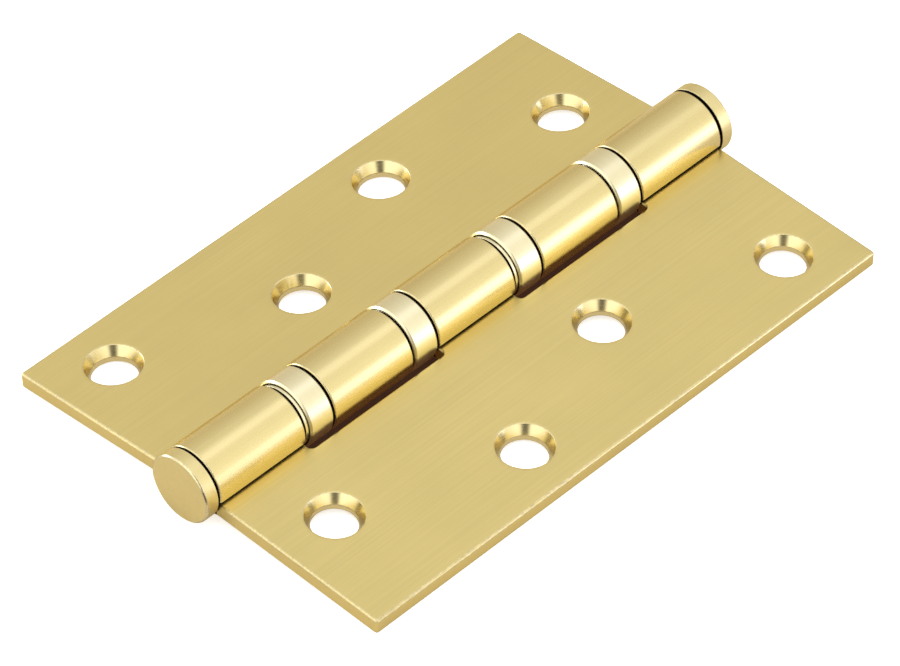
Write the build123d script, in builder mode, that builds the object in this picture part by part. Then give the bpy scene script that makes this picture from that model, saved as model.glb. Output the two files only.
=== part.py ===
"""Butt hinge with four ball bearings, lying open on its back with the barrel up.

Y runs along the pin, +X goes out over the leaf with three knuckles and Z points up.
The origin lies under the middle of the barrel, on the surface the hinge rests on.
All sizes are millimetres.
"""
import os
from math import acos, asin, atan2, cos, degrees, hypot, sin, sqrt

from build123d import *

# Leaves: two plates of one sheet, lying like a very flat roof on barrel and outer edges
leaf_length = 100.0
open_width = 70.0  # over both leaves when they lie in one plane
plate = 2.4
closed_gap = 2.2  # between the two faces when the hinge is shut
arris = 0.4  # bevel around the edge of the face

# Knuckles: fingers of the sheet rolled around the pin
pin_d = 6.0
end_knuckle = 16.3
bearing_room = 5.45  # between two knuckles when both leaves are flush
end_play = 0.3  # how far the two-knuckle leaf has slid along the pin towards the far end
seam = 0.4  # slit between the tip of the roll and the leaf's face
back_bend = 2.5  # radius where the back swells into the barrel
slot_clearance = 1.0  # from the barrel to the edge of a cut-out
slot_corner = 0.8

# Countersunk screw holes, staggered in two rows
screw_hole_d = 6.7
countersink_d = 8.5
countersink_angle = 50.0
inner_row = 17.3  # from the pin axis
outer_row = 26.4
end_screw = 40.2  # from the middle of the leaf
middle_screw = 12.5

# Caps pressed on the ends of the pin
cap_d = 10.8
cap_thickness = 2.2
cap_bevel = 0.25
cap_neck_d = 8.0
cap_groove = 0.4  # length of the neck that holds the cap off the knuckle
cap_socket = 1.4  # depth of the pin inside the cap
pin_lead = 0.4  # chamfer on the ends of the pin

# Ball bearings: a race whose flange closes the mouth of the cup, balls, a plain race and the cup
cup_wall = 0.4
cup_web = 0.8
cup_bevel = 0.3
seat_d = 8.0  # raised seats that touch the knuckles
seat_step = 0.4
mouth_gap = 0.7  # from the knuckle to the mouth of a bearing without play
track_depth = 0.25  # how far the balls sink into each race
ball_count = 8

# Clearances, each on one side
knuckle_clearance = 0.05  # swinging knuckles on the pin
race_clearance = 0.10  # races and cups on the pin
rim_clearance = 0.15  # flanged race inside the cup
ball_side_clearance = 0.05  # balls between pin and cup
track_clearance = 0.02  # balls in their tracks

pin_r = pin_d / 2
barrel_r = pin_r + plate
leaf_reach = open_width / 2
face_drop = closed_gap / 2  # from the pin axis down to a leaf's face
back_drop = face_drop + plate
face_bend = back_bend + plate  # radius where the face turns down into the bore

# The barrel and both outer edges touch the ground, which sets the fall of the leaves
droop = atan2(leaf_reach, back_drop) - acos(barrel_r / hypot(leaf_reach, back_drop))
axis_z = barrel_r
pin_axis = Axis((0, 0, axis_z), (0, 1, 0))
across_pin = Plane(origin=(0, 0, axis_z), x_dir=(1, 0, 0), z_dir=(0, 1, 0))
along_pin = Plane(origin=(0, 0, axis_z), x_dir=(0, 1, 0), z_dir=(1, 0, 0))

# Limits of the five knuckles along the pin, counted from the near end, when both leaves are flush
middle_knuckle = (leaf_length - 2 * end_knuckle - 4 * bearing_room) / 3
knuckles = []
start = -leaf_length / 2
for length in (end_knuckle, middle_knuckle, middle_knuckle, middle_knuckle, end_knuckle):
    knuckles.append((start, start + length))
    start += length + bearing_room
knuckle_play = (0, end_play, 0, end_play, 0)

# Each leaf has a plane for its cross-section and one on its face, local x away from the pin
right_out = Vector(cos(droop), 0, -sin(droop))
right_up = Vector(sin(droop), 0, cos(droop))
left_out = Vector(-cos(droop), 0, -sin(droop))
left_up = Vector(-sin(droop), 0, cos(droop))
right_axis = Vector(0, 0, axis_z)
left_axis = Vector(0, end_play, axis_z)
right_section = Plane(origin=right_axis, x_dir=right_out, z_dir=(0, -1, 0))
left_section = Plane(origin=left_axis, x_dir=left_out, z_dir=(0, 1, 0))
right_face = Plane(origin=right_axis - right_up * face_drop, x_dir=right_out, z_dir=right_up)
left_face = Plane(origin=left_axis - left_up * face_drop, x_dir=left_out, z_dir=left_up)

# The cut-outs reach from beyond the barrel to a little outside it
slot_edge = barrel_r + slot_clearance
slot_span = slot_edge + 2 * barrel_r
slot_middle = slot_edge - slot_span / 2
past_end = leaf_length / 2 + slot_span

# The same pattern serves both leaves, as they are half a turn apart
screw_spots = [
    (inner_row, -end_screw),
    (outer_row, -middle_screw),
    (inner_row, middle_screw),
    (outer_row, end_screw),
]


def leaf_section(plane, bore_r):
    """Cross-section of a leaf: its plate runs towards local +X and is rolled around the origin."""
    face_x = sqrt((bore_r + face_bend) ** 2 - (face_bend + face_drop) ** 2)
    back_x = sqrt((barrel_r + back_bend) ** 2 - (back_bend + back_drop) ** 2)
    face_angle = degrees(atan2(face_bend + face_drop, face_x))
    back_angle = degrees(atan2(back_bend + back_drop, back_x))
    tip_drop = face_drop - seam
    bore_tip = degrees(asin(tip_drop / bore_r))
    barrel_tip = degrees(asin(tip_drop / barrel_r))
    with BuildSketch(plane) as section:
        with BuildLine():
            bore = CenterArc((0, 0), bore_r, -bore_tip, 360 - face_angle + bore_tip)
            barrel = CenterArc((0, 0), barrel_r, -barrel_tip, 360 - back_angle + barrel_tip)
            Line(bore @ 0, barrel @ 0)
            into_bore = CenterArc((face_x, -face_drop - face_bend), face_bend, 90, 90 - face_angle)
            into_barrel = CenterArc((back_x, -back_drop - back_bend), back_bend, 90, 90 - back_angle)
            Polyline(into_bore @ 0, (leaf_reach, -face_drop), (leaf_reach, -back_drop), into_barrel @ 0)
        make_face()
        chamfer(section.vertices().group_by(Axis.X)[-1].sort_by(Axis.Y)[-1], arris)
    return section.sketch


def cut_outs(plane, spans):
    """Rounded cut-outs along the pin side of a leaf, one for each span of local Y."""
    with BuildSketch(plane) as openings:
        for start, end in spans:
            with Locations((slot_middle, (start + end) / 2)):
                RectangleRounded(slot_span, end - start, slot_corner)
    return openings.sketch


def end_bevels(face):
    """Square bars that bevel the two end edges of a leaf's face, seen from the pin."""
    with BuildSketch(Plane(face.from_local_coords((barrel_r, 0, 0)), face.y_dir, face.x_dir)) as bars:
        with Locations((leaf_length / 2, 0), (-leaf_length / 2, 0)):
            Rectangle(sqrt(2) * arris, sqrt(2) * arris, rotation=45)
    return bars.sketch


right_profile = leaf_section(right_section, pin_r)
right_slots = cut_outs(
    right_face, [(knuckles[0][1], knuckles[2][0]), (knuckles[2][1], knuckles[4][0])]
)
left_profile = leaf_section(left_section, pin_r + knuckle_clearance)
left_slots = cut_outs(
    left_face,
    [(-past_end, knuckles[1][0]), (knuckles[1][1], knuckles[3][0]), (knuckles[3][1], past_end)],
)

with BuildPart() as three_knuckle_leaf:
    extrude(right_profile, amount=leaf_length / 2, both=True)
    extrude(right_slots, amount=2 * barrel_r, both=True, mode=Mode.SUBTRACT)
    extrude(end_bevels(right_face), amount=leaf_reach, mode=Mode.SUBTRACT)
    with Locations(right_face):
        with Locations(*screw_spots):
            CounterSinkHole(screw_hole_d / 2, countersink_d / 2, counter_sink_angle=countersink_angle)
three_knuckle_leaf.part.label = "three_knuckle_leaf"

with BuildPart() as two_knuckle_leaf:
    extrude(left_profile, amount=leaf_length / 2, both=True)
    extrude(left_slots, amount=2 * barrel_r, both=True, mode=Mode.SUBTRACT)
    extrude(end_bevels(left_face), amount=leaf_reach, mode=Mode.SUBTRACT)
    with Locations(left_face):
        with Locations(*screw_spots):
            CounterSinkHole(screw_hole_d / 2, countersink_d / 2, counter_sink_angle=countersink_angle)
two_knuckle_leaf.part.label = "two_knuckle_leaf"

cap_seat = leaf_length / 2 + cap_groove  # where the neck ends and the cap begins
pin_half = cap_seat + cap_socket

with BuildPart() as hinge_pin:
    with BuildSketch(across_pin):
        Circle(pin_r)
    extrude(amount=pin_half, both=True)
    chamfer(hinge_pin.edges().filter_by(GeomType.CIRCLE), pin_lead)
hinge_pin.part.label = "hinge_pin"

with BuildPart() as far_cap:
    with BuildSketch(along_pin):
        with BuildLine():
            Polyline(
                (leaf_length / 2, pin_r),
                (leaf_length / 2, cap_neck_d / 2),
                (cap_seat, cap_neck_d / 2),
                (cap_seat, cap_d / 2),
                (cap_seat + cap_thickness - cap_bevel, cap_d / 2),
                (cap_seat + cap_thickness, cap_d / 2 - cap_bevel),
                (cap_seat + cap_thickness, 0),
                (pin_half, 0),
                (pin_half, pin_r),
                close=True,
            )
        make_face()
    revolve(axis=pin_axis)
far_cap.part.label = "far_cap"

with BuildPart() as near_cap:
    add(far_cap.part)
    mirror(about=Plane.XZ, mode=Mode.REPLACE)
near_cap.part.label = "near_cap"

# Bearing without play, measured from the near knuckle that carries the flanged race
race_bore_r = pin_r + race_clearance
cup_bore_r = barrel_r - cup_wall
flange_r = cup_bore_r - rim_clearance
ball_pitch_r = (race_bore_r + cup_bore_r) / 2
ball_r = (cup_bore_r - race_bore_r) / 2 - ball_side_clearance
race_gap = 2 * (ball_r - track_depth)
bearing_length = bearing_room - end_play
race_thickness = (bearing_length - seat_step - race_gap - cup_web) / 2
flanged_race_end = seat_step + race_thickness
ball_y = flanged_race_end + race_gap / 2
plain_race_start = flanged_race_end + race_gap
web_start = bearing_length - cup_web
cup_shoulder = bearing_length - seat_step
track_width = (ball_r + track_clearance) * sqrt(2) - race_gap / 2  # half of the 90 degree groove

bearing_pieces = []
for number in range(1, len(knuckles)):
    # The flanged race keeps to the near knuckle, all the rest to the far one
    near_y = knuckles[number - 1][1] + knuckle_play[number - 1]
    far_y = knuckles[number][0] + knuckle_play[number]
    stack_y = far_y - bearing_length
    near_stack = Plane(origin=(0, near_y, axis_z), x_dir=along_pin.x_dir, z_dir=along_pin.z_dir)
    far_stack = Plane(origin=(0, stack_y, axis_z), x_dir=along_pin.x_dir, z_dir=along_pin.z_dir)

    with BuildPart() as flanged_race:
        with BuildSketch(near_stack):
            with BuildLine():
                Polyline(
                    (0, race_bore_r),
                    (0, seat_d / 2),
                    (seat_step, seat_d / 2),
                    (seat_step, flange_r),
                    (flanged_race_end, flange_r),
                    (flanged_race_end, ball_pitch_r + track_width),
                    (flanged_race_end - track_width, ball_pitch_r),
                    (flanged_race_end, ball_pitch_r - track_width),
                    (flanged_race_end, race_bore_r),
                    close=True,
                )
            make_face()
        revolve(axis=pin_axis)
    flanged_race.part.label = f"flanged_race_{number}"

    with BuildPart() as ball_ring:
        with Locations(across_pin.offset(stack_y + ball_y)):
            with PolarLocations(ball_pitch_r, ball_count):
                Sphere(ball_r)
    ball_ring.part.label = f"ball_ring_{number}"

    with BuildPart() as plain_race:
        with BuildSketch(far_stack):
            with BuildLine():
                Polyline(
                    (plain_race_start, race_bore_r),
                    (plain_race_start, ball_pitch_r - track_width),
                    (plain_race_start + track_width, ball_pitch_r),
                    (plain_race_start, ball_pitch_r + track_width),
                    (plain_race_start, cup_bore_r),
                    (web_start, cup_bore_r),
                    (web_start, race_bore_r),
                    close=True,
                )
            make_face()
        revolve(axis=pin_axis)
    plain_race.part.label = f"plain_race_{number}"

    with BuildPart() as bearing_cup:
        with BuildSketch(far_stack):
            with BuildLine():
                Polyline(
                    (mouth_gap, cup_bore_r),
                    (mouth_gap, barrel_r - cup_bevel),
                    (mouth_gap + cup_bevel, barrel_r),
                    (cup_shoulder - cup_bevel, barrel_r),
                    (cup_shoulder, barrel_r - cup_bevel),
                    (cup_shoulder, seat_d / 2),
                    (bearing_length, seat_d / 2),
                    (bearing_length, race_bore_r),
                    (web_start, race_bore_r),
                    (web_start, cup_bore_r),
                    close=True,
                )
            make_face()
        revolve(axis=pin_axis)
    bearing_cup.part.label = f"bearing_cup_{number}"

    bearing_pieces += [flanged_race.part, ball_ring.part, plain_race.part, bearing_cup.part]

os.makedirs("parts", exist_ok=True)
export_step(three_knuckle_leaf.part, "parts/three_knuckle_leaf.step")
export_step(two_knuckle_leaf.part, "parts/two_knuckle_leaf.step")
export_step(hinge_pin.part, "parts/hinge_pin.step")
export_step(near_cap.part, "parts/near_cap.step")
export_step(far_cap.part, "parts/far_cap.step")
for piece in bearing_pieces:
    export_step(piece, f"parts/{piece.label}.step")
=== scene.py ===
"""Ball bearing butt hinge in satin gold, lying open on a pale table with its barrel up."""
from math import acos, asin, atan2, cos, hypot, isclose, pi, radians, sin, sqrt, tan

import bmesh
import bpy
from mathutils import Matrix, Quaternion, Vector


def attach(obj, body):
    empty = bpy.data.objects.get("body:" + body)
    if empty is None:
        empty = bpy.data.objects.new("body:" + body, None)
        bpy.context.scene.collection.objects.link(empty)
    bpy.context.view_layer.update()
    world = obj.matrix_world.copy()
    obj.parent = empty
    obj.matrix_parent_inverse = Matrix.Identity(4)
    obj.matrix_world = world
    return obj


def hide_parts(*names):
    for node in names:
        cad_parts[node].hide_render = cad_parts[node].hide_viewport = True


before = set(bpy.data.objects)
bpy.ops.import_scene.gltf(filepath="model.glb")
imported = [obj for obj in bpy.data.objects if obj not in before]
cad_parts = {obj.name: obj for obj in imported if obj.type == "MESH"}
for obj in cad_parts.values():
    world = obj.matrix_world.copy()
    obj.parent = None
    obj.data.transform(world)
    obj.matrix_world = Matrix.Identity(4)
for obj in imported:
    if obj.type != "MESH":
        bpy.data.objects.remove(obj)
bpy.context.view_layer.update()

# LEAVES
# Two plates blanked from 2.4 mm steel sheet, with fingers that are rolled around the pin.
# They are brushed lengthwise and plated in satin gold, and each has four countersunk holes.
leaf_length = 100.0
leaf_reach = 35.0
sheet = 2.4
face_drop = 1.1  # from the pin axis down to the face
pin_r = 3.0
barrel_r = pin_r + sheet
back_drop = face_drop + sheet
droop = atan2(leaf_reach, back_drop) - acos(barrel_r / hypot(leaf_reach, back_drop))
slot_edge = 6.4  # pin axis to the bottom of a cut-out
slot_corner = 0.8
outer_corner = 0.5
end_knuckle = 16.3
bearing_room = 5.45  # between two knuckles with both leaves flush
end_play = 0.3  # how far the plate with two knuckles has slid towards the far end
middle_knuckle = (leaf_length - 2 * end_knuckle - 4 * bearing_room) / 3
knuckle_clearance = 0.05  # of the two knuckles that turn on the pin
seam = 0.4  # slit between the tip of a roll and the face
back_bend = 2.5  # radius where the back swells into the barrel
face_arris, back_arris = 0.4, 0.28
tip_rounding = 0.18
screw_spots = [(17.3, -40.2), (26.4, -12.5), (17.3, 12.5), (26.4, 40.2)]
rim_r, hole_r = 4.25, 3.35
cone_depth = (rim_r - hole_r) / tan(radians(30))
hole_margin = 0.5  # ring of the face and the back that is turned with each hole
hole_rounding = 0.12
crease = 0.5  # edges that turn by more than this angle are rounded
slack = 0.01  # for picking edges and faces by their place
shaded_gap, cut, rolled = 1, 2, 3  # places in a piece's list of metals, after its own finish
leaf_frame = Matrix.Translation((0, 0, barrel_r)) @ Matrix.Rotation(droop, 4, "Y")
to_metres = Matrix.Scale(0.001, 4)


def roll_leaf(fingers, bore_r):
    """A leaf in its own frame, in millimetres: x away from the pin, y along it, z off the face."""
    leaf = bmesh.new()
    face_z, back_z = -face_drop, -back_drop
    bmesh.ops.create_cube(leaf, size=1)
    bmesh.ops.scale(leaf, vec=(leaf_reach - slot_edge, leaf_length, sheet), verts=leaf.verts)
    middle = ((leaf_reach + slot_edge) / 2, 0, (face_z + back_z) / 2)
    bmesh.ops.translate(leaf, vec=middle, verts=leaf.verts)
    for limit in sorted({y for finger in fingers for y in finger if abs(y) < leaf_length / 2}):
        everything = leaf.verts[:] + leaf.edges[:] + leaf.faces[:]
        bmesh.ops.bisect_plane(leaf, geom=everything, plane_co=(0, limit, 0), plane_no=(0, 1, 0))

    # Fingers are pulled out of the pin side, up to where the sheet begins to bend
    bend_x = sqrt((barrel_r + back_bend) ** 2 - (back_bend + back_drop) ** 2)
    back_angle = atan2(back_bend + back_drop, bend_x)
    leaf.normal_update()
    stubs = []
    for face in leaf.faces:
        y = face.calc_center_median().y
        if face.normal.x < -0.9 and any(start < y < end for start, end in fingers):
            stubs.append(face)
    stub_edges = list({edge for face in stubs for edge in face.edges})
    pulled = bmesh.ops.extrude_face_region(leaf, geom=stubs + stub_edges)["geom"]
    tips = [item for item in pulled if isinstance(item, bmesh.types.BMVert)]
    bmesh.ops.translate(leaf, vec=(bend_x - slot_edge, 0, 0), verts=tips)
    bmesh.ops.dissolve_limit(leaf, angle_limit=radians(1), verts=leaf.verts, edges=leaf.edges)

    # Corners of the cut-outs, then the outer corners and the edges of face and back
    def upright(edge):
        return abs(edge.verts[0].co.z - edge.verts[1].co.z) > sheet / 2

    def at_level(edge, level):
        return all(isclose(vert.co.z, level, abs_tol=1e-4) for vert in edge.verts)

    def bevel(edges, offset, segments):
        bmesh.ops.bevel(leaf, geom=edges, offset=offset, segments=segments, profile=0.5,
                        affect="EDGES", material=-1, clamp_overlap=True)

    bevel([e for e in leaf.edges if upright(e) and isclose(e.verts[0].co.x, slot_edge, abs_tol=1e-4)
           and abs(e.verts[0].co.y) < leaf_length / 2 - slack], slot_corner, 6)
    bevel([e for e in leaf.edges if upright(e) and e.verts[0].co.x > leaf_reach - slack], outer_corner, 4)
    for level, arris in ((face_z, face_arris), (back_z, back_arris)):
        bevel([e for e in leaf.edges if at_level(e, level)
               and not all(vert.co.x < bend_x + slack for vert in e.verts)], arris, 4)

    # Each finger is bent down and rolled around the pin until its tip meets the face again
    leaf.normal_update()
    ends = [f for f in leaf.faces if f.normal.x < -0.9 and f.calc_center_median().x < bend_x + slack]
    tip_drop = face_drop - seam
    roll_angle = 2 * pi - back_angle + asin(tip_drop / barrel_r)
    tip_faces = []
    for end in ends:
        bent = bmesh.ops.spin(leaf, geom=[end, *end.edges, *end.verts], axis=(0, -1, 0),
                              cent=(bend_x, 0, back_z - back_bend), angle=pi / 2 - back_angle, steps=8)
        around = bmesh.ops.spin(leaf, geom=bent["geom_last"], axis=(0, 1, 0), cent=(0, 0, 0),
                                angle=roll_angle, steps=84)
        for item in around["geom_last"]:
            if isinstance(item, bmesh.types.BMVert):
                item.co.x = sqrt(hypot(item.co.x, item.co.z) ** 2 - tip_drop ** 2)
                item.co.z = -tip_drop
            elif isinstance(item, bmesh.types.BMFace):
                tip_faces.append(item)
    for vert in leaf.verts:
        if hypot(vert.co.x, vert.co.z) < bore_r:
            grown = bore_r / hypot(vert.co.x, vert.co.z)
            vert.co.x *= grown
            vert.co.z *= grown
    bevel(list({edge for face in tip_faces for edge in face.edges}), tip_rounding, 3)

    # Countersunk holes are turned, and face and back are closed around them
    leaf.normal_update()
    flats = [max((f for f in leaf.faces if f.normal.z * side > 0.9), key=lambda f: f.calc_area())
             for side in (1, -1)]
    bmesh.ops.delete(leaf, geom=flats, context="FACES_ONLY")
    for x, y in screw_spots:
        outline = [(rim_r + hole_margin, face_z), (rim_r, face_z), (hole_r, face_z - cone_depth),
                   (hole_r, back_z), (hole_r + hole_margin, back_z)]
        points = [leaf.verts.new((x + r, y, z)) for r, z in outline]
        lines = [leaf.edges.new(pair) for pair in zip(points, points[1:])]
        bmesh.ops.spin(leaf, geom=points + lines, axis=(0, 0, 1), cent=(x, y, 0), angle=2 * pi, steps=72,
                       use_merge=True)
    for level in (face_z, back_z):
        rim = [e for e in leaf.edges if e.is_boundary and at_level(e, level)]
        bmesh.ops.triangle_fill(leaf, edges=rim, use_beauty=True, normal=(0, 0, 1))
    bmesh.ops.recalc_face_normals(leaf, faces=leaf.faces)

    def from_hole(spot):
        return min(hypot(spot.x - x, spot.y - y) for x, y in screw_spots)

    rings = []
    for edge in leaf.edges:
        near = from_hole((edge.verts[0].co + edge.verts[1].co) / 2) < rim_r + hole_margin / 2
        if near and len(edge.link_faces) == 2 and edge.calc_face_angle() > crease:
            rings.append(edge)
    bevel(rings, hole_rounding, 3)

    # The ends of the knuckles, their bores and the slit at the tip get a near-black metal as painted
    # shade, and the countersinks are cut after brushing
    leaf.normal_update()
    for face in leaf.faces:
        spot = face.calc_center_median()
        r = hypot(spot.x, spot.z)
        in_bore = r < bore_r + 0.05
        in_slit = face.normal.z < -0.95 and isclose(spot.z, -tip_drop, abs_tol=slack)
        in_gap = abs(face.normal.y) > 0.9 and r < barrel_r - face_arris / 2
        if in_bore or in_slit or in_gap:
            face.material_index = shaded_gap
        elif from_hole(spot) < rim_r - 0.02:
            face.material_index = cut
        elif r < barrel_r + slack:
            face.material_index = rolled
    return leaf


strip_width = 0.165  # narrower faces are the roundings along edges: paler for rubbed plating and a painted highlight


def finish_piece(name, shape, place, finish, body, node):
    """Puts a shape made in millimetres in its place, smooth shaded, as a piece that rides on a body."""
    # Roundings are marked paler: rubbed plating and a painted highlight along the edges
    edge_rub_and_highlight = shape.faces.layers.float.new("edge_rub_and_highlight")
    for face in shape.faces:
        face.smooth = True
        face[edge_rub_and_highlight] = float(min(edge.calc_length() for edge in face.edges) < strip_width)
    bmesh.ops.transform(shape, matrix=to_metres @ place, verts=shape.verts)
    mesh = bpy.data.meshes.new(name)
    shape.to_mesh(mesh)
    shape.free()
    for metal in (finish, gap_shade_black, cut_gold, rolled_gold):
        mesh.materials.append(metal)
    piece = bpy.data.objects.new(name, mesh)
    bpy.context.scene.collection.objects.link(piece)
    flat_first = piece.modifiers.new("flat faces first", "WEIGHTED_NORMAL")
    flat_first.weight = 100
    flat_first.keep_sharp = True
    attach(piece, body)
    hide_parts(node)


def feed(tree, socket, value):
    """Joins a socket to another node's output, or sets it to a fixed value."""
    if isinstance(value, bpy.types.NodeSocket):
        tree.links.new(value, socket)
    else:
        socket.default_value = value


def reckon(tree, operation, first, second=0.0, clamp=False):
    """The result of one step of arithmetic."""
    step = tree.nodes.new("ShaderNodeMath")
    step.operation = operation
    step.use_clamp = clamp
    feed(tree, step.inputs[0], first)
    feed(tree, step.inputs[1], second)
    return step.outputs["Value"]


def ramp(tree, value, start, end, low=0.0, high=1.0, smooth=False):
    """Goes from low to high while the value goes from start to end, and no further."""
    slope = tree.nodes.new("ShaderNodeMapRange")
    slope.interpolation_type = "SMOOTHSTEP" if smooth else "LINEAR"
    feed(tree, slope.inputs["Value"], value)
    for socket, limit in (("From Min", start), ("From Max", end), ("To Min", low), ("To Max", high)):
        slope.inputs[socket].default_value = limit
    return slope.outputs["Result"]


def mix(tree, share, first, second):
    """A colour that goes from the first to the second with the share."""
    blend = tree.nodes.new("ShaderNodeMixRGB")
    feed(tree, blend.inputs["Fac"], share)
    feed(tree, blend.inputs["Color1"], first)
    feed(tree, blend.inputs["Color2"], second)
    return blend.outputs["Color"]


def brushed_metal(name, colour, grain, depth, roughness, coat):
    """Metal with fine brush lines: grain counts them per metre in x, y and z, depth is their strength."""
    material = bpy.data.materials.new(name)
    material.use_nodes = True
    tree = material.node_tree
    metal = tree.nodes["Principled BSDF"]
    metal.inputs["Metallic"].default_value = 1.0
    metal.inputs["Specular Tint"].default_value = (*[0.35 + 0.65 * c ** 0.5 for c in colour], 1)
    metal.inputs["Coat Weight"].default_value = coat
    metal.inputs["Coat IOR"].default_value = 1.5
    metal.inputs["Coat Roughness"].default_value = 0.2
    place = tree.nodes.new("ShaderNodeTexCoord").outputs["Object"]

    def noise(scale, detail):
        stretch = tree.nodes.new("ShaderNodeMapping")
        stretch.inputs["Scale"].default_value = scale
        feed(tree, stretch.inputs["Vector"], place)
        pattern = tree.nodes.new("ShaderNodeTexNoise")
        pattern.inputs["Scale"].default_value = 1.0
        pattern.inputs["Detail"].default_value = detail
        feed(tree, pattern.inputs["Vector"], stretch.outputs["Vector"])
        return pattern.outputs["Fac"]

    def span(pattern, low, high):
        return ramp(tree, pattern, 0.25, 0.75, low, high)

    def shaded(tint, tone):
        scale = tree.nodes.new("ShaderNodeVectorMath")
        scale.operation = "SCALE"
        scale.inputs[0].default_value = tint
        feed(tree, scale.inputs["Scale"], tone)
        return scale.outputs["Vector"]

    # Brush lines and faint clouds shade the colour
    lines = noise(grain, 2.0)
    clouds = noise((70, 70, 70), 2.0)
    tone = reckon(tree, "MULTIPLY", span(lines, 1 - depth, 1 + depth), span(clouds, 0.97, 1.03))

    # Edge roundings are paler, in patches and with fine specks: rubbed plating and a painted highlight
    edge = tree.nodes.new("ShaderNodeAttribute")
    edge.attribute_name = "edge_rub_and_highlight"
    patches = noise((1400, 500, 1400), 3.0)
    specks = noise((4500, 1500, 4500), 2.0)
    rub_and_highlight_share = reckon(tree, "MULTIPLY", edge.outputs["Fac"], span(patches, 0.3, 1.0))
    paler = [1 - 0.85 * (1 - c) for c in colour]
    rub_and_highlight_colour = mix(tree, rub_and_highlight_share, shaded(colour, tone), shaded(paler, span(specks, 0.6, 1.12)))
    feed(tree, metal.inputs["Base Color"], rub_and_highlight_colour)
    feed(tree, metal.inputs["Roughness"], span(lines, roughness - depth, roughness + depth))
    scratch = tree.nodes.new("ShaderNodeBump")
    scratch.inputs["Strength"].default_value = 0.05
    scratch.inputs["Distance"].default_value = 0.00003
    feed(tree, scratch.inputs["Height"], lines)
    feed(tree, metal.inputs["Normal"], scratch.outputs["Normal"])
    return material


# Near-black metal that paints shade into gaps, bores, grooves and the slit
gap_shade_black = brushed_metal("gap_shade_black", (0.045, 0.035, 0.028), (900, 900, 900), 0.03, 0.5, 0.0)
cut_gold = brushed_metal("cut_gold", (0.82, 0.69, 0.35), (900, 900, 5000), 0.03, 0.22, 0.05)
rolled_gold = brushed_metal("rolled_gold", (0.80, 0.66, 0.30), (6000, 35, 6000), 0.03, 0.275, 0.05)
brushed_gold = brushed_metal("brushed_gold", (0.80, 0.65, 0.265), (6000, 35, 6000), 0.035, 0.32, 0.05)
knuckles = []
start = -leaf_length / 2
for length in (end_knuckle, middle_knuckle, middle_knuckle, middle_knuckle, end_knuckle):
    knuckles.append((start, start + length))
    start += length + bearing_room
three_knuckles = roll_leaf(knuckles[0::2], pin_r)
finish_piece("plate_with_three_knuckles", three_knuckles, leaf_frame, brushed_gold,
             "three_knuckle_side", "three_knuckle_leaf")
turned_round = Matrix.Translation((0, end_play, 0)) @ Matrix.Rotation(pi, 4, "Z")
two_knuckles = roll_leaf(knuckles[1::2], pin_r + knuckle_clearance)
finish_piece("plate_with_two_knuckles", two_knuckles, turned_round @ leaf_frame, brushed_gold,
             "two_knuckle_side", "two_knuckle_leaf")

# PIN AND CAPS
# A ground steel pin runs through all knuckles. A turned cap is pressed on each of its ends and
# stands off the knuckle on a short neck, which shows as a dark groove, darkened with painted shade.
ground_steel = brushed_metal("ground_steel", (0.62, 0.61, 0.59), (300, 6000, 300), 0.03, 0.28, 0.0)
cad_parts["hinge_pin"].material_slots[0].material = ground_steel


def turn(outline, rounding):
    """A closed body of revolution about the pin axis from its outline of (y, radius) points."""
    body = bmesh.new()
    points = [body.verts.new((0, y, r)) for y, r in outline]
    lines = [body.edges.new(pair) for pair in zip(points, points[1:])]
    if outline[0][1] > 0:
        lines.append(body.edges.new((points[-1], points[0])))
    bmesh.ops.spin(body, geom=points + lines, axis=(0, 1, 0), cent=(0, 0, 0), angle=2 * pi, steps=96,
                   use_merge=True)
    bmesh.ops.remove_doubles(body, verts=body.verts, dist=1e-5)
    bmesh.ops.recalc_face_normals(body, faces=body.faces)
    sharp = [e for e in body.edges if len(e.link_faces) == 2 and e.calc_face_angle() > crease]
    bmesh.ops.bevel(body, geom=sharp, offset=rounding, segments=3, profile=0.5, affect="EDGES",
                    material=-1, clamp_overlap=True)
    return body


def resurface(body, metal, picked):
    """Gives the faces of a turned piece that are picked by y and radius another of its metals."""
    for face in body.faces:
        spot = face.calc_center_median()
        if picked(spot.y, hypot(spot.x, spot.z)):
            face.material_index = metal


matt_gold = brushed_metal("matt_gold", (0.79, 0.66, 0.31), (2500, 2500, 2500), 0.03, 0.42, 0.05)
cap_r, neck_r = 5.4, 4.0
cap_groove, cap_thickness, cap_socket = 0.4, 2.2, 1.4
cap_bevel, cap_rounding = 0.25, 0.1
cap_seat = leaf_length / 2 + cap_groove
cap_end = cap_seat + cap_thickness
pin_end = cap_seat + cap_socket
on_axis = Matrix.Translation((0, 0, barrel_r))
for cap, half_turn in (("far_cap", 0), ("near_cap", pi)):
    body = turn([(cap_end, 0), (cap_end, cap_r - cap_bevel), (cap_end - cap_bevel, cap_r), (cap_seat, cap_r),
                 (cap_seat, neck_r), (leaf_length / 2, neck_r), (leaf_length / 2, pin_r), (pin_end, pin_r),
                 (pin_end, 0)], cap_rounding)
    # The neck gets near-black metal: painted shade in the groove
    resurface(body, shaded_gap, lambda y, r: y < cap_seat + slack)
    resurface(body, cut, lambda y, r: y > cap_end - cap_bevel - 0.05 and r > cap_r - cap_bevel - 0.05)
    finish_piece("turned_" + cap, body, on_axis @ Matrix.Rotation(half_turn, 4, "Z"), matt_gold,
                 "three_knuckle_side", cap)

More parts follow.
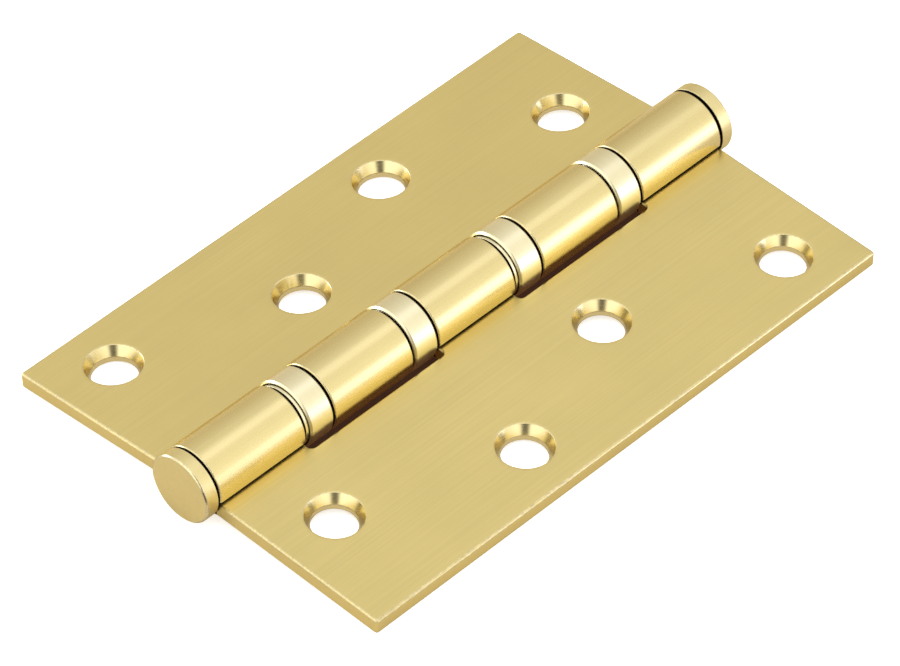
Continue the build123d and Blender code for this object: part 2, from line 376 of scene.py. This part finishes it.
# BALL BEARINGS
# Between the knuckles sit four thrust bearings: a race with a thin flange, a ring of balls, a
# plain race and a turned cup around them. Cup and flange are plated paler than the leaves.
pale_gold = brushed_metal("pale_gold", (0.89, 0.80, 0.50), (60, 3500, 60), 0.018, 0.33, 0.05)
bearing_length = bearing_room - end_play
race_bore_r, seat_r, flange_r = 3.1, 4.0, 4.85
flange_y, race_end = 0.55, 1.725  # from the near knuckle
race_rounding = 0.06
cup_bore_r = 5.0
back_rim_r = 4.75  # the cup's back is gold down to here, painted shade inside
cup_bevel, cup_rounding = 0.3, 0.12
mouth_y = 0.47  # from the near knuckle of a bearing without play
back_y = bearing_length - 0.28
web_y = bearing_length - 0.8
for number in range(1, 5):
    carries_race, carries_cup = "three_knuckle_side", "two_knuckle_side"
    near_play, far_play = 0.0, end_play
    if number % 2 == 0:
        carries_race, carries_cup = carries_cup, carries_race
        near_play, far_play = far_play, near_play
    near_knuckle = knuckles[number - 1][1] + near_play
    far_knuckle = knuckles[number][0] + far_play
    race = turn([(0, race_bore_r), (0, seat_r), (flange_y, seat_r), (flange_y, flange_r),
                 (race_end, flange_r), (race_end, race_bore_r)], race_rounding)
    # Seat and bore of the race get near-black metal: painted shade
    resurface(race, shaded_gap, lambda y, r: r < flange_r - 0.1)
    race_place = on_axis @ Matrix.Translation((0, near_knuckle, 0))
    finish_piece(f"flanged_ring_{number}", race, race_place, pale_gold, carries_race,
                 f"flanged_race_{number}")
    cup = turn([(mouth_y, cup_bore_r), (mouth_y, barrel_r - cup_bevel), (mouth_y + cup_bevel, barrel_r),
                (back_y - cup_bevel, barrel_r), (back_y, barrel_r - cup_bevel), (back_y, back_rim_r),
                (back_y, seat_r), (bearing_length, seat_r), (bearing_length, race_bore_r),
                (web_y, race_bore_r), (web_y, cup_bore_r)], cup_rounding)
    # Inside the back rim and in the bore the cup gets near-black metal: painted shade
    resurface(cup, shaded_gap, lambda y, r: r < back_rim_r or y < back_y - slack and r < cup_bore_r + 0.02)
    cup_place = on_axis @ Matrix.Translation((0, far_knuckle - bearing_length, 0))
    finish_piece(f"turned_cup_{number}", cup, cup_place, pale_gold, carries_cup,
                 f"bearing_cup_{number}")
    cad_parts[f"plain_race_{number}"].material_slots[0].material = ground_steel
    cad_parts[f"ball_ring_{number}"].material_slots[0].material = ground_steel

# TABLE
# A plain white sheet under the hinge, which glows a little to stay evenly white. The camera sees a
# brown-black painted shadow in the crevice beside the barrel. The metal mirrors it with painted shade,
# darker.
table = bmesh.new()
bmesh.ops.create_grid(table, x_segments=1, y_segments=1, size=1.5)
table_mesh = bpy.data.meshes.new("table")
table.to_mesh(table_mesh)
table.free()
table_top = bpy.data.objects.new("table", table_mesh)
bpy.context.scene.collection.objects.link(table_top)
white_table = bpy.data.materials.new("white_table")
white_table.use_nodes = True
paint = white_table.node_tree
on_table = paint.nodes.new("ShaderNodeTexCoord").outputs["Object"]


def along(tree, place, axis):
    """How far a place lies along an axis."""
    dot = tree.nodes.new("ShaderNodeVectorMath")
    dot.operation = "DOT_PRODUCT"
    dot.inputs[1].default_value = axis
    feed(tree, dot.inputs[0], place)
    return dot.outputs["Value"]


def beyond(point, axis):
    """How far a place on the table lies beyond a point, along an axis."""
    return reckon(paint, "SUBTRACT", along(paint, on_table, axis), point.dot(axis))


# The painted shadow in the crevice reaches from the barrel's line of contact under the plate with three
# knuckles
painted_shadow_middle = Vector((0.00425, 0, 0))
half_width, half_length = 0.00475, 0.042
widths = reckon(paint, "ABSOLUTE", beyond(painted_shadow_middle, Vector((1 / half_width, 0, 0))))
lengths = reckon(paint, "ABSOLUTE", beyond(painted_shadow_middle, Vector((0, 1 / half_length, 0))))
outside_painted_shadow = ramp(paint, reckon(paint, "MAXIMUM", widths, lengths), 0.85, 1.0, smooth=True)
# Painted shadow in the crevice as the camera sees it, and painted shade in what the metal mirrors
seen_with_painted_shadow = mix(paint, outside_painted_shadow, (0.05, 0.021, 0.012, 1), (0.92, 0.92, 0.92, 1))
painted_mirror_colour = mix(paint, outside_painted_shadow, (0.09, 0.04, 0.018, 1), (0.34, 0.31, 0.27, 1))

# A painted dark strip in front of the near cap, which only the metal mirrors, paints a dark reflection on
# the cap
azimuth = radians(44.89)  # of the camera
forward = Vector((sin(azimuth), -cos(azimuth), 0))
sideways = Vector((cos(azimuth), sin(azimuth), 0))
near_end = Vector((0, -cap_end / 1000, 0))
ahead = ramp(paint, beyond(near_end, forward), 0.010, 0.018)
aside = ramp(paint, reckon(paint, "ABSOLUTE", beyond(near_end, sideways)), 0.008, 0.012)
painted_dark_strip = reckon(paint, "SUBTRACT", ahead, aside, clamp=True)
painted_mirror_colour = mix(paint, painted_dark_strip, painted_mirror_colour, (0.02, 0.015, 0.01, 1))

# Beyond the far half of the plate with three knuckles the metal mirrors a painted light place on the table
to_right = ramp(paint, along(paint, on_table, (1, 0, 0)), 0.040, 0.055)
not_far = ramp(paint, along(paint, on_table, (0, 1, 0)), 0.035, 0.010)
painted_light_place = reckon(paint, "SUBTRACT", to_right, not_far, clamp=True)
painted_mirror_colour = mix(paint, painted_light_place, painted_mirror_colour, (0.78, 0.80, 0.98, 1))
ray = paint.nodes.new("ShaderNodeLightPath")
shown = mix(paint, ray.outputs["Is Camera Ray"], painted_mirror_colour, seen_with_painted_shadow)
surface = paint.nodes["Principled BSDF"]
feed(paint, surface.inputs["Base Color"], shown)
# The table glows in these colours: evenly white to the camera, and its painted places glow in the metal
feed(paint, surface.inputs["Emission Color"], shown)
surface.inputs["Emission Strength"].default_value = 0.7
surface.inputs["Roughness"].default_value = 0.8
table_mesh.materials.append(white_table)

# ROOM, LAMPS AND CAMERA
# White walls, lighter on the right and in front, warm low behind, with a narrow dark place behind
# the camera. Three soft boxes light the metal, a fourth only the table. The lens is long.
room = bpy.data.worlds.new("room")
room.use_nodes = True
walls = room.node_tree
outwards = walls.nodes.new("ShaderNodeTexCoord").outputs["Generated"]
behind = ramp(walls, along(walls, outwards, forward), 0.45, 0.65, smooth=True)
off_line = ramp(walls, reckon(walls, "ABSOLUTE", along(walls, outwards, sideways)), 0.12, 0.36, smooth=True)
dark_place = ramp(walls, reckon(walls, "SUBTRACT", behind, off_line), 0.0, 1.0, 1.0, 0.08)
light = reckon(walls, "ADD", along(walls, outwards, (0.25, -0.45, 0.0)), 1.175)
warm = ramp(walls, along(walls, outwards, (-0.55, 0.75, -0.35)), 0.15, 1.0, smooth=True)
backdrop = walls.nodes["Background"]
feed(walls, backdrop.inputs["Strength"], reckon(walls, "MULTIPLY", light, dark_place))
feed(walls, backdrop.inputs["Color"], mix(walls, warm, (1, 1, 1, 1), (0.90, 0.80, 0.66, 1)))
bpy.context.scene.world = room


def soft_box(name, towards, distance, width, height, power, colour):
    """A rectangular lamp that stands at a distance in some direction and faces the hinge."""
    lamp = bpy.data.lights.new(name, "AREA")
    lamp.shape = "RECTANGLE"
    lamp.size, lamp.size_y = width, height
    lamp.energy = power
    lamp.color = colour
    box = bpy.data.objects.new(name, lamp)
    box.location = Vector(towards).normalized() * distance
    box.rotation_euler = (-box.location).to_track_quat("-Z", "Y").to_euler()
    box.visible_camera = False
    bpy.context.scene.collection.objects.link(box)
    return box


soft_box("overhead", (0.05, 0.42, 0.90), 0.5, 0.19, 0.22, 0.05, (0.9, 1.0, 1.5))
soft_box("right", (0.74, 0.64, 0.12), 0.38, 0.2, 0.15, 0.12, (0.85, 1.0, 1.7))
soft_box("left", (-0.93, -0.33, 0.12), 0.8, 0.4, 0.3, 1.8, (0.9, 1.0, 1.2))
table_light = soft_box("table_light", (0.0, 0.0, 1.0), 1.2, 0.4, 0.4, 8.0, (1.0, 1.0, 1.0))
table_light.visible_glossy = False

elevation, lean = radians(43.211), radians(-1.115)
to_camera = forward * cos(elevation) + Vector((0, 0, sin(elevation)))
aim = Vector((0.002334, -0.002546, 0.001726))
camera_distance = 0.89687
lens = bpy.data.cameras.new("camera")
lens.lens = 257.6
lens.sensor_width = 36.0
lens.clip_start, lens.clip_end = 0.05, 10.0
camera = bpy.data.objects.new("camera", lens)
camera.location = aim + to_camera * camera_distance
look = (-to_camera).to_track_quat("-Z", "Y") @ Quaternion((0, 0, 1), lean)
camera.rotation_euler = look.to_euler()
bpy.context.scene.collection.objects.link(camera)
bpy.context.scene.camera = camera
bpy.context.scene.view_settings.view_transform = "Standard"
